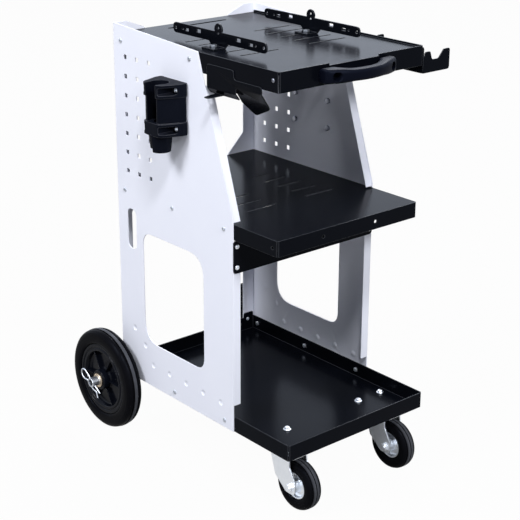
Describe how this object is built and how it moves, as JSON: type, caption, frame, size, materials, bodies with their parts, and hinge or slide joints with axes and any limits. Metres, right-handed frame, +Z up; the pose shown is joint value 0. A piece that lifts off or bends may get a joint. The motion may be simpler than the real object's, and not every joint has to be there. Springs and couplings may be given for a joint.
{
  "type": "welding cart",
  "caption": "Rolling welding cart with folded side panels, slotted top tray, middle shelf, deep bottom tray, rear wheels and swivel casters.",
  "frame": {"origin": "on the floor, under the centre of the cart's bounding box", "axes": "+X forwards to the handle and casters, +Y to the cart's left, +Z up"},
  "size_m": [0.675, 0.4976, 0.8862],
  "materials": {
    "pale_powder_coat": "satin powder coat",
    "black_powder_coat": "semi-gloss powder coat",
    "black_plastic": "moulded, fine grain",
    "black_rubber": "matt solid rubber",
    "zinc_steel": "bright zinc plating"
  },
  "bodies": {
    "cart": {"right_side_panel": "pale_powder_coat", "left_side_panel": "pale_powder_coat", "top_tray": "black_powder_coat", "middle_shelf": "black_powder_coat", "bottom_tray": "black_powder_coat", "middle_cross_plate": "black_powder_coat", "handle": "black_plastic", "handle_screw_right": "zinc_steel", "handle_screw_left": "zinc_steel", "hook_bracket": "black_powder_coat", "cable_hanger": "black_powder_coat", "torch_holder": "black_plastic", "rear_axle": "zinc_steel", "clamp_bar_right": "black_powder_coat", "clamp_bolt_right": "zinc_steel", "axle_bracket_right": "black_powder_coat", "axle_washer_right": "zinc_steel", "wheel_spacer_right": "zinc_steel", "hairpin_clip_right": "zinc_steel", "caster_plate_right": "zinc_steel", "king_nut_right": "zinc_steel", "clamp_bar_left": "black_powder_coat", "clamp_bolt_left": "zinc_steel", "axle_bracket_left": "black_powder_coat", "axle_washer_left": "zinc_steel", "wheel_spacer_left": "zinc_steel", "hairpin_clip_left": "zinc_steel", "caster_plate_left": "zinc_steel", "king_nut_left": "zinc_steel"},
    "rear_wheel_right": {"rear_rim_right": "black_plastic", "rear_tyre_right": "black_rubber"},
    "caster_fork_right": {"caster_fork_right": "zinc_steel", "caster_axle_bolt_right": "zinc_steel"},
    "caster_wheel_right": {"caster_hub_right": "zinc_steel", "caster_tyre_right": "black_rubber"},
    "rear_wheel_left": {"rear_rim_left": "black_plastic", "rear_tyre_left": "black_rubber"},
    "caster_fork_left": {"caster_fork_left": "zinc_steel", "caster_axle_bolt_left": "zinc_steel"},
    "caster_wheel_left": {"caster_hub_left": "zinc_steel", "caster_tyre_left": "black_rubber"}
  },
  "joints": [
    {"name": "rear_wheel_spin_right", "type": "hinge", "parent": "cart", "child": "rear_wheel_right", "pos_m": [-0.2305, -0.206, 0.107], "axis": [0, 1, 0], "continuous": true},
    {"name": "caster_swivel_right", "type": "hinge", "parent": "cart", "child": "caster_fork_right", "pos_m": [0.2565, -0.126, 0.106], "axis": [0, 0, 1], "continuous": true},
    {"name": "caster_spin_right", "type": "hinge", "parent": "caster_fork_right", "child": "caster_wheel_right", "pos_m": [0.2875, -0.126, 0.05], "axis": [0, 1, 0], "continuous": true},
    {"name": "rear_wheel_spin_left", "type": "hinge", "parent": "cart", "child": "rear_wheel_left", "pos_m": [-0.2305, 0.206, 0.107], "axis": [0, 1, 0], "continuous": true},
    {"name": "caster_swivel_left", "type": "hinge", "parent": "cart", "child": "caster_fork_left", "pos_m": [0.2565, 0.126, 0.106], "axis": [0, 0, 1], "continuous": true},
    {"name": "caster_spin_left", "type": "hinge", "parent": "caster_fork_left", "child": "caster_wheel_left", "pos_m": [0.2875, 0.126, 0.05], "axis": [0, 1, 0], "continuous": true}
  ]
}
